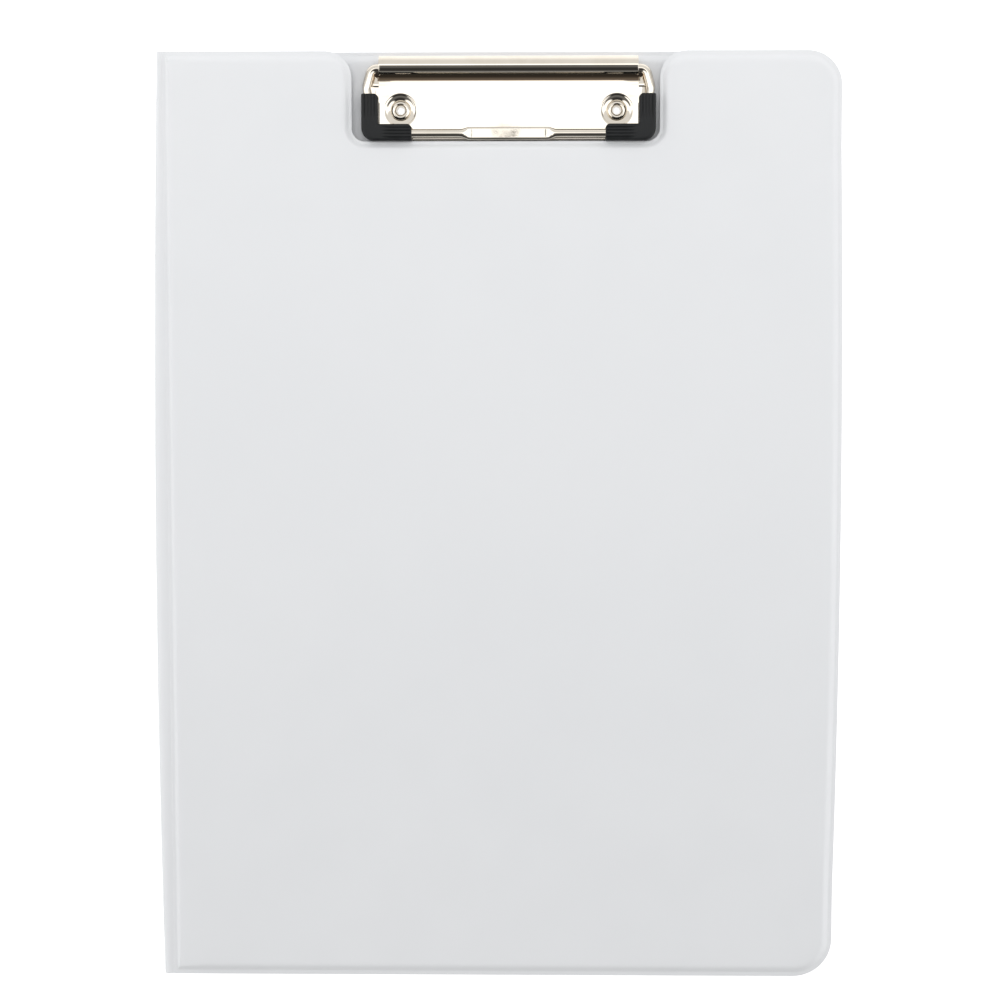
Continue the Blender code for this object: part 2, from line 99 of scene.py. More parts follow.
# the clip
HINGE = PIVOT["bail_lift"]
PLATE_LOW, PLATE_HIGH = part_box("clip_plate")
SHEET = 0.70 * MM
PLATE_MID_Z = BACK_TOP_Z + 0.10 * MM + SHEET / 2
PLATE_TOP_Z = PLATE_MID_Z + SHEET / 2
BARREL_RADIUS = PLATE_HIGH.z - HINGE.z - SHEET / 2
BARREL_HALF = 44.4 * MM
WIRE_LOW, WIRE_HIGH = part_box("wire_bail")
WIRE_RADIUS = (WIRE_HIGH.z - WIRE_LOW.z) / 2
WIRE_Z = (WIRE_HIGH.z + WIRE_LOW.z) / 2
SLEEVE_LOW, SLEEVE_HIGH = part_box("sleeve_right")
RIVETS = {name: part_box(name) for name in ("rivet_left", "rivet_right")}
RIVET_SPOTS = {name: (low + high) / 2 for name, (low, high) in RIVETS.items()}
RIVET_HOLE_RADIUS = 2.5 * MM
DISH_RELIEF_RADIUS = 6.0 * MM


# ---------------------------------------------------------------- mesh helpers

def object_from(name, bm):
    bmesh.ops.recalc_face_normals(bm, faces=bm.faces)
    mesh = bpy.data.meshes.new(name)
    bm.to_mesh(mesh)
    bm.free()
    obj = bpy.data.objects.new(name, mesh)
    bpy.context.scene.collection.objects.link(obj)
    return obj


def apply_modifiers(obj):
    bpy.context.view_layer.update()
    graph = bpy.context.evaluated_depsgraph_get()
    mesh = bpy.data.meshes.new_from_object(obj.evaluated_get(graph))
    obj.modifiers.clear()
    obj.data = mesh
    return obj


def smooth(obj, degrees=35):
    obj.data.shade_smooth()
    obj.data.set_sharp_from_angle(angle=math.radians(degrees))
    return obj


def solidify(obj, thickness):
    modifier = obj.modifiers.new("thickness", "SOLIDIFY")
    modifier.thickness = thickness
    modifier.offset = 0
    modifier.use_even_offset = True
    return apply_modifiers(obj)


def bevel(obj, width, segments=2, degrees=40):
    modifier = obj.modifiers.new("edges", "BEVEL")
    modifier.width = width
    modifier.segments = segments
    modifier.limit_method = "ANGLE"
    modifier.angle_limit = math.radians(degrees)
    return apply_modifiers(obj)


def cut(obj, cutter):
    modifier = obj.modifiers.new("cut", "BOOLEAN")
    modifier.operation = "DIFFERENCE"
    modifier.solver = "EXACT"
    modifier.object = cutter
    apply_modifiers(obj)
    bpy.data.objects.remove(cutter)
    return obj


def prism(name, outline, low, high):
    bm = bmesh.new()
    face = bm.faces.new([bm.verts.new((x, y, low)) for x, y in outline])
    made = bmesh.ops.extrude_face_region(bm, geom=[face], use_keep_orig=True)["geom"]
    raised = [item for item in made if isinstance(item, bmesh.types.BMVert)]
    bmesh.ops.translate(bm, vec=(0, 0, high - low), verts=raised)
    return object_from(name, bm)


def circle(centre, radius, count):
    turns = [2 * math.pi * i / count for i in range(count)]
    return [(centre[0] + radius * math.cos(t), centre[1] + radius * math.sin(t)) for t in turns]


def arc(centre, radius, start, sweep, steps):
    """Points along an arc, its angles in degrees."""
    turns = [math.radians(start + sweep * i / steps) for i in range(steps + 1)]
    return [(centre[0] + radius * math.cos(t), centre[1] + radius * math.sin(t)) for t in turns]


def loft(bm, rows, closed):
    """Quads between rows of vertices. Closed rows are loops."""
    for row, after in zip(rows, rows[1:]):
        count = len(row) if closed else len(row) - 1
        for i in range(count):
            j = (i + 1) % len(row)
            bm.faces.new((row[i], row[j], after[j], after[i]))


def turned(name, profile, centre, steps=96):
    """A closed profile of (radius, height) points turned about the vertical."""
    bm = bmesh.new()
    rows = []
    for radius, height in profile:
        ring = circle(centre, radius, steps)
        rows.append([bm.verts.new((x, y, height)) for x, y in ring])
    loft(bm, rows + rows[:1], closed=True)
    return object_from(name, bm)


def curve_through(points, per_span):
    """A smooth line (Catmull-Rom) through points."""
    ends = [points[0], *points, points[-1]]
    made = []
    for p0, p1, p2, p3 in zip(ends, ends[1:], ends[2:], ends[3:]):
        for i in range(per_span):
            t = i / per_span
            made.append(tuple(
                0.5 * (2 * b + (c - a) * t + (2 * a - 5 * b + 4 * c - d) * t ** 2
                       + (3 * b - a - 3 * c + d) * t ** 3)
                for a, b, c, d in zip(p0, p1, p2, p3)
            ))
    return made + [points[-1]]


def finish_piece(obj, body, finish, slot, *nodes):
    """Gives a piece its material, its body and the CAD nodes that it stands for. The slot is not
    used.
    """
    dress(obj, finish)
    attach(obj, body)
    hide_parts(*nodes)
    return obj


def dress(obj, finish):
    obj.data.materials.clear()
    obj.data.materials.append(finish)


def smoothstep(low, high, value):
    t = min(1.0, max(0.0, (value - low) / (high - low)))
    return t * t * (3 - 2 * t)


# ---------------------------------------------------------------- materials

class Nodes:
    """A short way to write a node tree. An input is named, or numbered as in "#0"."""

    def __init__(self, tree):
        self.tree = tree

    def add(self, kind, settings=None, **inputs):
        node = self.tree.nodes.new(kind)
        for key, value in (settings or {}).items():
            setattr(node, key, value)
        for key, value in inputs.items():
            self.set(node, key.replace("_", " "), value)
        return node

    def set(self, node, name, value):
        socket = node.inputs[int(name[1:])] if name[0] == "#" else node.inputs[name]
        if isinstance(value, bpy.types.NodeSocket):
            self.tree.links.new(value, socket)
        else:
            socket.default_value = value

    def math(self, operation, a, b=0.0):
        node = self.add("ShaderNodeMath", {"operation": operation})
        self.set(node, "#0", a)
        self.set(node, "#1", b)
        return node.outputs[0]

    def ramp(self, value, low, high, to_low=0.0, to_high=1.0):
        node = self.add("ShaderNodeMapRange", {"interpolation_type": "SMOOTHSTEP"})
        for name, given in (("Value", value), ("From Min", low), ("From Max", high),
                            ("To Min", to_low), ("To Max", to_high)):
            self.set(node, name, given)
        return node.outputs[0]

    def noise(self, where, scale, detail=3.0, roughness=0.5):
        node = self.add("ShaderNodeTexNoise", Vector=where, Scale=scale, Detail=detail,
                        Roughness=roughness)
        return node.outputs["Fac"]

    def mix(self, fac, a, b):
        node = self.add("ShaderNodeMix", {"data_type": "RGBA"})
        self.set(node, "#0", fac)
        self.set(node, "#6", a)
        self.set(node, "#7", b)
        return node.outputs[2]

    def bump(self, height, distance, strength=1.0, normal=None):
        node = self.add("ShaderNodeBump", Height=height, Distance=distance, Strength=strength)
        if normal is not None:
            self.set(node, "Normal", normal)
        return node.outputs["Normal"]


def new_material(name):
    made = bpy.data.materials.new(name)
    made.use_nodes = True
    nodes = Nodes(made.node_tree)
    shader = made.node_tree.nodes["Principled BSDF"]
    where = nodes.add("ShaderNodeTexCoord").outputs["Object"]
    return made, nodes, shader, where


def vinyl(name, colour, shade, roughness, grain):
    """Calendered PVC film: cloudy white, with a fine pebble grain and a few dark specks."""
    made, nodes, shader, where = new_material(name)
    cloud = nodes.noise(where, 9.0, 3.0, 0.55)
    base = nodes.mix(nodes.ramp(cloud, 0.35, 0.70), (*colour, 1), (*shade, 1))
    cells = nodes.add("ShaderNodeTexVoronoi", {"feature": "F1"}, Vector=where, Scale=22.0)
    speck = nodes.ramp(cells.outputs["Distance"], 0.006, 0.012, 1.0, 0.0)
    rare = nodes.add("ShaderNodeSeparateColor", Color=cells.outputs["Color"]).outputs[0]
    speck = nodes.math("MULTIPLY", speck, nodes.math("GREATER_THAN", rare, 0.93))
    base = nodes.mix(nodes.math("MULTIPLY", speck, 0.75), base, (0.20, 0.18, 0.16, 1))
    nodes.set(shader, "Base Color", base)
    rub = nodes.noise(where, 60.0, 4.0, 0.6)
    nodes.set(shader, "Roughness", nodes.ramp(rub, 0.3, 0.7, roughness - 0.05, roughness + 0.06))
    nodes.set(shader, "IOR", 1.53)
    pebble = nodes.noise(where, 2600.0, 2.0, 0.5)
    ripple = nodes.noise(where, 55.0, 2.0, 0.5)
    normal = nodes.bump(ripple, 0.05 * MM, 0.5)
    nodes.set(shader, "Normal", nodes.bump(pebble, grain, 0.6, normal))
    return made


def nickel(name, painted_crease_shade=None):
    """Bright nickel plate over pressed steel, with a faint waviness and hairline scratches.

    The plating is painted browner low in the crease in front of the barrel, for the shade and
    the reflection there, given as the y where it starts and where it is full.
    """
    made, nodes, shader, where = new_material(name)
    stain = nodes.noise(where, 130.0, 3.0, 0.6)
    base = nodes.mix(nodes.ramp(stain, 0.35, 0.75), (0.675, 0.625, 0.550, 1),
                     (0.645, 0.595, 0.515, 1))
    # painted shade and reflection: the toe in the crease before the barrel is tinted brown
    if painted_crease_shade:
        parts = nodes.add("ShaderNodeSeparateXYZ", Vector=where)
        crease_shade_mask = nodes.ramp(parts.outputs[1], *painted_crease_shade)
        low = nodes.ramp(parts.outputs[2], PLATE_TOP_Z + 0.4 * MM, PLATE_TOP_Z + 1.2 * MM, 1.0, 0.0)
        base = nodes.mix(nodes.math("MULTIPLY", crease_shade_mask, low), base, (0.62, 0.46, 0.32, 1))
    nodes.set(shader, "Base Color", base)
    nodes.set(shader, "Metallic", 1.0)
    stretch = nodes.add("ShaderNodeMapping", Vector=where, Scale=(40.0, 1400.0, 1400.0))
    hair = nodes.noise(stretch.outputs[0], 1.0, 3.0, 0.6)
    smear = nodes.noise(where, 220.0, 3.0, 0.6)
    rough = nodes.math("ADD", nodes.ramp(hair, 0.55, 0.85, 0.0, 0.04),
                       nodes.ramp(smear, 0.3, 0.8, 0.025, 0.07))
    nodes.set(shader, "Roughness", rough)
    wave = nodes.noise(where, 90.0, 1.0, 0.4)
    normal = nodes.bump(wave, 0.035 * MM, 0.35)
    nodes.set(shader, "Normal", nodes.bump(hair, 0.001 * MM, 0.4, normal))
    return made


def rubber(name):
    """Soft black PVC with a matt skin."""
    made, nodes, shader, where = new_material(name)
    cloud = nodes.noise(where, 320.0, 3.0, 0.6)
    base = nodes.mix(cloud, (0.008, 0.0085, 0.009, 1), (0.016, 0.017, 0.018, 1))
    nodes.set(shader, "Base Color", base)
    nodes.set(shader, "Specular IOR Level", 0.22)
    nodes.set(shader, "Roughness", nodes.ramp(cloud, 0.3, 0.7, 0.36, 0.50))
    grain = nodes.noise(where, 3500.0, 2.0, 0.5)
    nodes.set(shader, "Normal", nodes.bump(grain, 0.02 * MM, 0.6))
    return made


def greyboard(name):
    """Recycled board with pale and dark fibres."""
    made, nodes, shader, where = new_material(name)
    fibres = nodes.noise(where, 900.0, 5.0, 0.7)
    flecks = nodes.noise(where, 2400.0, 2.0, 0.5)
    base = nodes.mix(nodes.ramp(fibres, 0.35, 0.65), (0.33, 0.30, 0.26, 1), (0.47, 0.44, 0.39, 1))
    base = nodes.mix(nodes.ramp(flecks, 0.62, 0.70, 0.0, 0.6), base, (0.16, 0.14, 0.12, 1))
    nodes.set(shader, "Base Color", base)
    nodes.set(shader, "Roughness", nodes.ramp(fibres, 0.3, 0.7, 0.82, 0.95))
    nodes.set(shader, "Normal", nodes.bump(fibres, 0.05 * MM, 0.8))
    return made


SKIN = vinyl("white_vinyl_film", (0.775, 0.785, 0.800), (0.765, 0.776, 0.792), 0.40, 0.012 * MM)
LINING = vinyl("white_liner_film", (0.760, 0.770, 0.785), (0.750, 0.760, 0.776), 0.45, 0.010 * MM)
POCKET = vinyl("pocket_film", (0.66, 0.68, 0.71), (0.64, 0.66, 0.69), 0.24, 0.006 * MM)
NICKEL = nickel("nickel_plate_steel")
BARREL_FRONT = HINGE.y - BARREL_RADIUS - SHEET / 2
# the pressing's nickel, with painted brown shade in the crease in front of the barrel
PRESSED_NICKEL = nickel("nickel_plate_pressing_crease_shade", (BARREL_FRONT - 2.1 * MM, BARREL_FRONT - 1.2 * MM))
RUBBER = rubber("black_sleeve_rubber")
BOARD = greyboard("greyboard_fibres")


# ---------------------------------------------------------------- panel films

ARC_STEPS = 14
SIDE_STEP = 8.0 * MM
FIELD_STEP = 8.0 * MM

# how far in from the edge, in mm, and how far up from the weld to the board's face
RIM = [
    (0.00, 0.00), (0.35, 0.00), (0.80, 0.00), (1.20, 0.00), (1.45, 0.04), (1.70, 0.13),
    (2.00, 0.28), (2.35, 0.47), (2.70, 0.65), (3.05, 0.80), (3.40, 0.905), (3.80, 0.965),
    (4.30, 0.992), (5.00, 1.00),
]
WELD_LINE = 1.35
WELD_LINE_WIDTH = 0.22
RIM_DROOP = 0.13 * MM
RIM_DROOP_WIDTH = 1.3

# the rim is narrower along the spine and round the notch, as a share of its width elsewhere
SPINE_SIDE = 0.55
NOTCH_SIDE = 0.72

# where the film's slack starts and where it is full, in from the edge
SLACK_START = 2.0 * MM
SLACK_FULL = 12.0 * MM

# the free side stands out in the middle and draws in towards its ends
SIDE_BOW = 0.85 * MM
SIDE_BOW_CURVE = 85 * MM
SIDE_DRAWN_IN = -0.6 * MM


def corners(notched):
    """Corner points anticlockwise: x, y, radius, inset in x, inset in y, 1 if convex."""
    low, top = -PANEL_TOP, PANEL_TOP
    made = [
        (PANEL_LEFT, low, 0, SPINE_SIDE, 1, 1),
        (PANEL_RIGHT, low, LOW_CORNER_RADIUS, -1, 1, 1),
        (PANEL_RIGHT, top, TOP_CORNER_RADIUS, -1, -1, 1),
    ]
    if notched:
        left, right = NOTCH_X - NOTCH_HALF, NOTCH_X + NOTCH_HALF
        made += [
            (right, top, NOTCH_OUTER_RADIUS, NOTCH_SIDE, -1, 1),
            (right, NOTCH_FLOOR, NOTCH_INNER_RADIUS, NOTCH_SIDE, -NOTCH_SIDE, -1),
            (left, NOTCH_FLOOR, NOTCH_INNER_RADIUS, -NOTCH_SIDE, -NOTCH_SIDE, -1),
            (left, top, NOTCH_OUTER_RADIUS, -NOTCH_SIDE, -1, 1),
        ]
    return made + [(PANEL_LEFT, top, 0, SPINE_SIDE, -1, 1)]


def corner_points(spec, i, inset):
    """One corner of an outline at an inset: a single point, or an arc if it is rounded."""
    x, y, radius, dx, dy, convex = spec[i]
    corner = Vector((x, y))
    came = (corner - Vector(spec[i - 1][:2])).normalized()
    goes = (Vector(spec[(i + 1) % len(spec)][:2]) - corner).normalized()
    corner += Vector((dx, dy)) * inset
    if not radius:
        return [corner]
    share = (abs(dx) + abs(dy)) / 2
    r = radius - convex * inset * share
    turns = [math.pi / 2 * step / ARC_STEPS for step in range(ARC_STEPS + 1)]
    return [corner - came * r * (1 - math.sin(t)) + goes * r * (1 - math.cos(t)) for t in turns]


def rounded_outline(spec, inset):
    """The outline at an inset. It has the same number of points at every inset."""
    turns = [corner_points(spec, i, inset) for i in range(len(spec))]
    points = []
    for i, turn in enumerate(turns):
        after = (i + 1) % len(spec)
        length = (Vector(spec[after][:2]) - Vector(spec[i][:2])).length
        steps = max(2, round(length / SIDE_STEP))
        points += turn
        points += [turn[-1].lerp(turns[after][0], k / steps) for k in range(1, steps)]
    return points


def droop(inset):
    """How far the welded rim hangs at its outer edge. inset is in mm."""
    return RIM_DROOP * max(0.0, 1 - inset / RIM_DROOP_WIDTH) ** 1.6


def bow(x, y):
    """How far the film stands out in X, all of it at the free side and none by the spine."""
    out = max(SIDE_DRAWN_IN, SIDE_BOW - SIDE_BOW_CURVE * y ** 2)
    return out * smoothstep(0.5 * PANEL_RIGHT, PANEL_RIGHT, x)


def waviness(x, y, seed):
    """The film's slack over its board, in shares of its height."""
    broad = noise.noise(Vector((x * 11, y * 8, seed)))
    fine = noise.noise(Vector((x * 30, y * 24, seed + 7)))
    return 0.7 * broad + 0.3 * fine


def film(name, spec, rim_z, face_z, thickness, seed, groove=0.0, slack=0.06 * MM, swell=0.0):
    """A welded film: its rim lies on the weld, then climbs to the board's face.

    groove is the depth of the weld's line, slack the height of the unevenness over the board
    and swell how far the whole middle stands off.
    """
    bm = bmesh.new()
    rows = []
    rise = face_z - rim_z
    outward = math.copysign(1.0, rise)
    for inset, share in RIM:
        away = (inset - WELD_LINE) / WELD_LINE_WIDTH
        dip = groove * math.exp(-away * away)
        z = rim_z + rise * share - outward * dip - droop(inset)
        ring = rounded_outline(spec, inset * MM)
        rows.append([bm.verts.new((p.x, p.y, z)) for p in ring])
    loft(bm, rows, closed=True)
    field = bm.faces.new(rows[-1])
    bm.normal_update()
    split_field(bm, field)
    for vertex in bm.verts:
        x, y, _ = vertex.co
        inside = min(x - PANEL_LEFT, PANEL_RIGHT - x, y + PANEL_TOP, PANEL_TOP - y)
        lift = smoothstep(SLACK_START, SLACK_FULL, inside) * (swell + slack * waviness(x, y, seed))
        vertex.co.z += outward * lift
        vertex.co.x += bow(x, y)
    return solidify(object_from(name, bm), thickness)


def split_field(bm, field):
    """Cuts the middle of a film into a grid, so that it can take the film's slack."""
    faces = [field]
    xs = [v.co.x for v in field.verts]
    ys = [v.co.y for v in field.verts]
    for axis, low, high in ((0, min(xs), max(xs)), (1, min(ys), max(ys))):
        steps = round((high - low) / FIELD_STEP)
        for i in range(1, steps):
            at, normal = Vector((0, 0, 0)), Vector((0, 0, 0))
            at[axis] = low + (high - low) * i / steps
            normal[axis] = 1
            geom = set(faces)
            for face in faces:
                geom.update(face.edges)
                geom.update(face.verts)
            made = bmesh.ops.bisect_plane(
                bm, geom=list(geom), plane_co=at, plane_no=normal, dist=0.02 * MM
            )
            faces = [g for g in made["geom"] if isinstance(g, bmesh.types.BMFace)]


def cut_rivet_holes(obj, radius):
    """Clears a film round both rivets."""
    for spot in RIVET_SPOTS.values():
        outline = circle(spot, radius, 64)
        cut(obj, prism("hole", outline, BACK_BOTTOM_Z - MM, BACK_TOP_Z + MM))


def build_films():
    """The outer and the inner film of the back and of the cover."""
    weld = (FILM + WELD_GAP) / 2
    plain, notched = corners(False), corners(True)
    back_skin = film("back_film_outer", plain, BACK_MID_Z - weld,
                     BACK_BOTTOM_Z + FILM / 2, FILM, 3, slack=0.0)
    back_liner = film("back_film_inner", plain, BACK_MID_Z + weld,
                      BACK_TOP_Z - FILM / 2, FILM, 5, groove=0.10 * MM, slack=0.05 * MM)
    cut_rivet_holes(back_skin, RIVET_HOLE_RADIUS)
    cut_rivet_holes(back_liner, DISH_RELIEF_RADIUS)
    cover_skin = film("cover_film_outer", notched, COVER_MID_Z + weld,
                      COVER_TOP_Z - FILM / 2, FILM, 11, groove=0.01 * MM, slack=0.09 * MM)
    cover_liner = film("cover_film_inner", notched, COVER_MID_Z - weld,
                       COVER_BOTTOM_Z + FILM / 2, FILM, 17, groove=0.08 * MM)
    for obj, body, finish, slot, node in (
        (back_skin, "back", SKIN, "white_vinyl", "back_skin"),
        (back_liner, "back", LINING, "white_liner", "back_liner"),
        (cover_skin, "cover", SKIN, "white_vinyl", "cover_skin"),
        (cover_liner, "cover", LINING, "white_liner", "cover_liner"),
    ):
        finish_piece(smooth(obj, 40), body, finish, slot, node)


def build_pocket():
    """The pocket inside the cover, open at its top edge with a thumb cut."""
    rim_z = COVER_MID_Z - WELD_GAP / 2 - FILM - WELD_GAP - POCKET_FILM / 2
    face_z = COVER_BOTTOM_Z - WELD_GAP - POCKET_FILM / 2
    pocket = film("cover_pocket_film", corners(False), rim_z, face_z, POCKET_FILM, 17,
                  groove=0.07 * MM, swell=0.07 * MM)
    reach = math.sqrt(THUMB_RADIUS ** 2 - (THUMB_RADIUS - THUMB_DEPTH) ** 2)
    swing = math.degrees(math.asin(reach / THUMB_RADIUS))
    centre = (0.0, POCKET_TOP_Y + THUMB_RADIUS - THUMB_DEPTH)
    beyond = PANEL_RIGHT + 5 * MM
    above = [
        (-beyond, POCKET_TOP_Y), *arc(centre, THUMB_RADIUS, -90 - swing, 2 * swing, 32),
        (beyond, POCKET_TOP_Y), (beyond, PANEL_TOP + 5 * MM), (-beyond, PANEL_TOP + 5 * MM),
    ]
    cut(pocket, prism("mouth", above, 0, COVER_TOP_Z))
    finish_piece(smooth(pocket, 40), "cover", POCKET, "pocket_vinyl", "cover_pocket")


# ---------------------------------------------------------------- spine

# the spine's section, from the crease round to halfway: X from the crease and the height over
# its level, in mm
SPINE_SECTION = [
    (0.75, 0.01), (0.50, 0.01), (0.25, -0.02), (0.00, -0.10), (-0.35, 0.00), (-0.80, 0.12),
    (-1.25, 0.02), (-1.62, -0.38), (-1.85, -0.95), (-1.95, -1.50),
]
SPINE_REACH = 1.97


def spine_bulge(share):
    """How much further the loose spine stands out, from its foot (0) to its head (1)."""
    return (1.35 + 6.0 * share - 7.6 * share ** 2) * MM


def build_spine():
    """One film round the spine, in two pieces that meet halfway and curve round from the creases.
    Neither piece is put on a body.
    """
    middle = (BACK_MID_Z + COVER_MID_Z) / 2
    half = (COVER_MID_Z - BACK_MID_Z) / 2
    points = [(CREASE_X + x * MM, half + lift * MM) for x, lift in SPINE_SECTION]
    points.append((CREASE_X - SPINE_REACH * MM, 0.0))
    section = curve_through(points, 4)
    steps = round(2 * PANEL_TOP / SIDE_STEP)
    for name, sign, body in (("spine_film_cover", 1, "cover"), ("spine_film_back", -1, "back")):
        bm = bmesh.new()
        rows = []
        for x, z in section:
            loose = smoothstep(0.2 * MM, 1.9 * MM, CREASE_X - x)
            row = []
            for i in range(steps + 1):
                y = PANEL_TOP * (2 * i / steps - 1)
                out = spine_bulge(i / steps) * loose
                row.append(bm.verts.new((x - out, y, middle + sign * z)))
            rows.append(row)
        loft(bm, rows, closed=False)
        strip = smooth(solidify(object_from(name, bm), 2 * FILM), 50)
        dress(strip, SKIN)
        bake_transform(strip)
        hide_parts("spine_skin", "spine_liner")


# ---------------------------------------------------------------- clip plate

PLATE_CORNER = 2.5 * MM
PLATE_EAR_Y = HINGE.y - 1.8 * MM
PLATE_GRID = 1.6 * MM
DISH_FIELD = 7.6 * MM
DISH_SIDES = 96
DISH_DEPTH = 1.00 * MM
DISH_PROFILE = [
    (7.60, 0.00), (6.60, 0.00), (6.00, 0.00), (5.74, -0.01), (5.56, -0.06), (5.42, -0.16),
    (5.28, -0.26), (5.12, -0.33), (4.88, -0.39), (4.60, -0.45), (4.32, -0.54), (4.05, -0.67),
    (3.78, -0.82), (3.52, -0.94), (3.25, -0.99), (3.00, -1.00), (2.60, -1.00),
]
TOE_LENGTH = 1.95 * MM
TOE_RISE = 0.42 * MM
CORNER_DENT = 0.13 * MM
ROLL_START = -90
ROLL_END = 214
ROLL_STEPS = 76


def plate_outline():
    """The flat sheet's edge, anticlockwise, up to the line where it rolls into the barrel."""
    half = (PLATE_HIGH.x - PLATE_LOW.x) / 2
    centre = HINGE.x
    points = []
    for sign, start in ((-1, 180), (1, 270)):
        at = (centre + sign * (half - PLATE_CORNER), PLATE_LOW.y + PLATE_CORNER)
        points += arc(at, PLATE_CORNER, start, 90, 8)
    points += [(centre + half, PLATE_EAR_Y), (centre + BARREL_HALF, PLATE_EAR_Y)]
    steps = round(BARREL_HALF / MM)
    points += [(centre + BARREL_HALF * (1 - 2 * i / steps), HINGE.y) for i in range(steps + 1)]
    points += [(centre - BARREL_HALF, PLATE_EAR_Y), (centre - half, PLATE_EAR_Y)]
    return [Vector(p) for p in points]


def plate_height(x, y):
    """Height of the sheet over its flat: a toe along the barrel, and slightly sunk corners."""
    toe = max(0.0, (y - BARREL_FRONT + TOE_LENGTH) / TOE_LENGTH)
    rise = TOE_RISE * min(toe, 1.30) ** 3 * (1 - smoothstep(BARREL_FRONT + 0.5 * MM, HINGE.y, y))
    across = abs(x - HINGE.x)
    edge = PLATE_HIGH.x - HINGE.x
    dent = smoothstep(edge - 8.5 * MM, edge - 6.0 * MM, across)
    dent *= smoothstep(HINGE.y - 12.0 * MM, HINGE.y - 8.5 * MM, y)
    dent *= 1 - smoothstep(HINGE.y - 8.0 * MM, HINGE.y - 4.7 * MM, y)
    return rise - CORNER_DENT * dent


def near_a_dish(p, reach):
    return any((p - Vector(spot[:2])).length < reach for spot in RIVET_SPOTS.values())


def plate_grid(boundary):
    """Points spread over the flat sheet, clear of its edge and of both dishes."""
    low, high = PLATE_LOW.xy, Vector((PLATE_HIGH.x, HINGE.y))
    columns = round((high.x - low.x) / PLATE_GRID)
    lines = round((high.y - low.y) / (PLATE_GRID / 2))
    made = []
    for i in range(1, columns):
        for j in range(1, lines):
            p = Vector((
                low.x + (high.x - low.x) * i / columns, low.y + (high.y - low.y) * j / lines
            ))
            if inside_by(p, boundary, 0.35 * MM) and not near_a_dish(p, DISH_FIELD + 0.5 * MM):
                made.append(p)
    return made


def build_plate():
    """One pressed sheet: the flat with its toe, two dishes, and the barrel rolled at the top."""
    outline = plate_outline()
    dishes = [circle(spot, DISH_FIELD, DISH_SIDES) for spot in RIVET_SPOTS.values()]
    points, edges = [], []
    for ring in (outline, *dishes):
        first = len(points)
        points += [Vector(p) for p in ring]
        edges += [(first + i, first + (i + 1) % len(ring)) for i in range(len(ring))]
    fixed = len(points)
    points += plate_grid(outline)
    places, _, faces, origins, *_ = geometry.delaunay_2d_cdt(points, edges, [], 1, 1e-7)

    bm = bmesh.new()
    verts = [bm.verts.new((p.x, p.y, PLATE_MID_Z + plate_height(p.x, p.y))) for p in places]
    for face in faces:
        middle = sum((places[i] for i in face), Vector((0, 0))) / len(face)
        if not near_a_dish(middle, DISH_FIELD * 0.999):
            bm.faces.new([verts[i] for i in face])
    at = {i: verts[k] for k, given in enumerate(origins) for i in given if i < fixed}
    for k, spot in enumerate(RIVET_SPOTS.values()):
        start = len(outline) + k * DISH_SIDES
        add_dish(bm, [at[start + i] for i in range(DISH_SIDES)], spot)
    add_barrel(bm, [at[i] for i, p in enumerate(outline) if abs(p.y - HINGE.y) < 1e-9])
    bmesh.ops.join_triangles(
        bm, faces=[f for f in bm.faces if len(f.verts) == 3], angle_face_threshold=0.1,
        angle_shape_threshold=0.9, cmp_seam=False, cmp_sharp=False, cmp_uvs=False,
        cmp_vcols=False, cmp_materials=False,
    )
    plate = bevel(solidify(object_from("clip_plate_pressing", bm), SHEET), 0.10 * MM, 2, 50)
    finish_piece(smooth(plate, 30), "back", PRESSED_NICKEL, "nickel_plate", "clip_plate")


def inside_by(p, polygon, margin):
    """Whether p is inside the polygon and at least a margin from its sides."""
    inside = False
    for a, b in zip(polygon, polygon[1:] + polygon[:1]):
        if (a.y > p.y) != (b.y > p.y) and p.x < (b.x - a.x) * (p.y - a.y) / (b.y - a.y) + a.x:
            inside = not inside
        near = geometry.intersect_point_line(p, a, b)
        share = min(1.0, max(0.0, near[1]))
        if (p - (a + (b - a) * share)).length < margin:
            return False
    return inside


def add_dish(bm, ring, spot):
    """The rivet's dished seat, joined to the flat sheet at its outer ring."""
    profile = curve_through(DISH_PROFILE, 3)
    rows = [ring]
    for radius, height in profile[1:]:
        row = []
        for i, start in enumerate(ring):
            t = math.atan2(start.co.y - spot.y, start.co.x - spot.x)
            x, y = spot.x + radius * MM * math.cos(t), spot.y + radius * MM * math.sin(t)
            base = PLATE_MID_Z + plate_height(x, y)
            row.append(bm.verts.new((x, y, base + height * MM)))
        rows.append(row)
    loft(bm, rows, closed=True)


def add_barrel(bm, edge):
    """Rolls the sheet's far edge up, over and back down in front."""
    rows = [edge]
    roll = arc(HINGE.yz, BARREL_RADIUS, ROLL_START, ROLL_END - ROLL_START, ROLL_STEPS)
    for y, z in roll[1:]:
        rows.append([bm.verts.new((v.co.x, y, z)) for v in edge])
    loft(bm, rows, closed=False)


# the ear's section: Y from the hinge and the height over the plate, in mm
EAR_TOP = [
    (-7.10, 0.62), (-6.90, 0.78), (-6.20, 0.82), (-5.50, 0.72), (-4.00, 0.36), (-2.20, 0.02),
]
EAR_FRONT = -7.0 * MM
EAR_INNER = BARREL_HALF + 0.25 * MM
EAR_OUTER = BARREL_HALF + 3.00 * MM


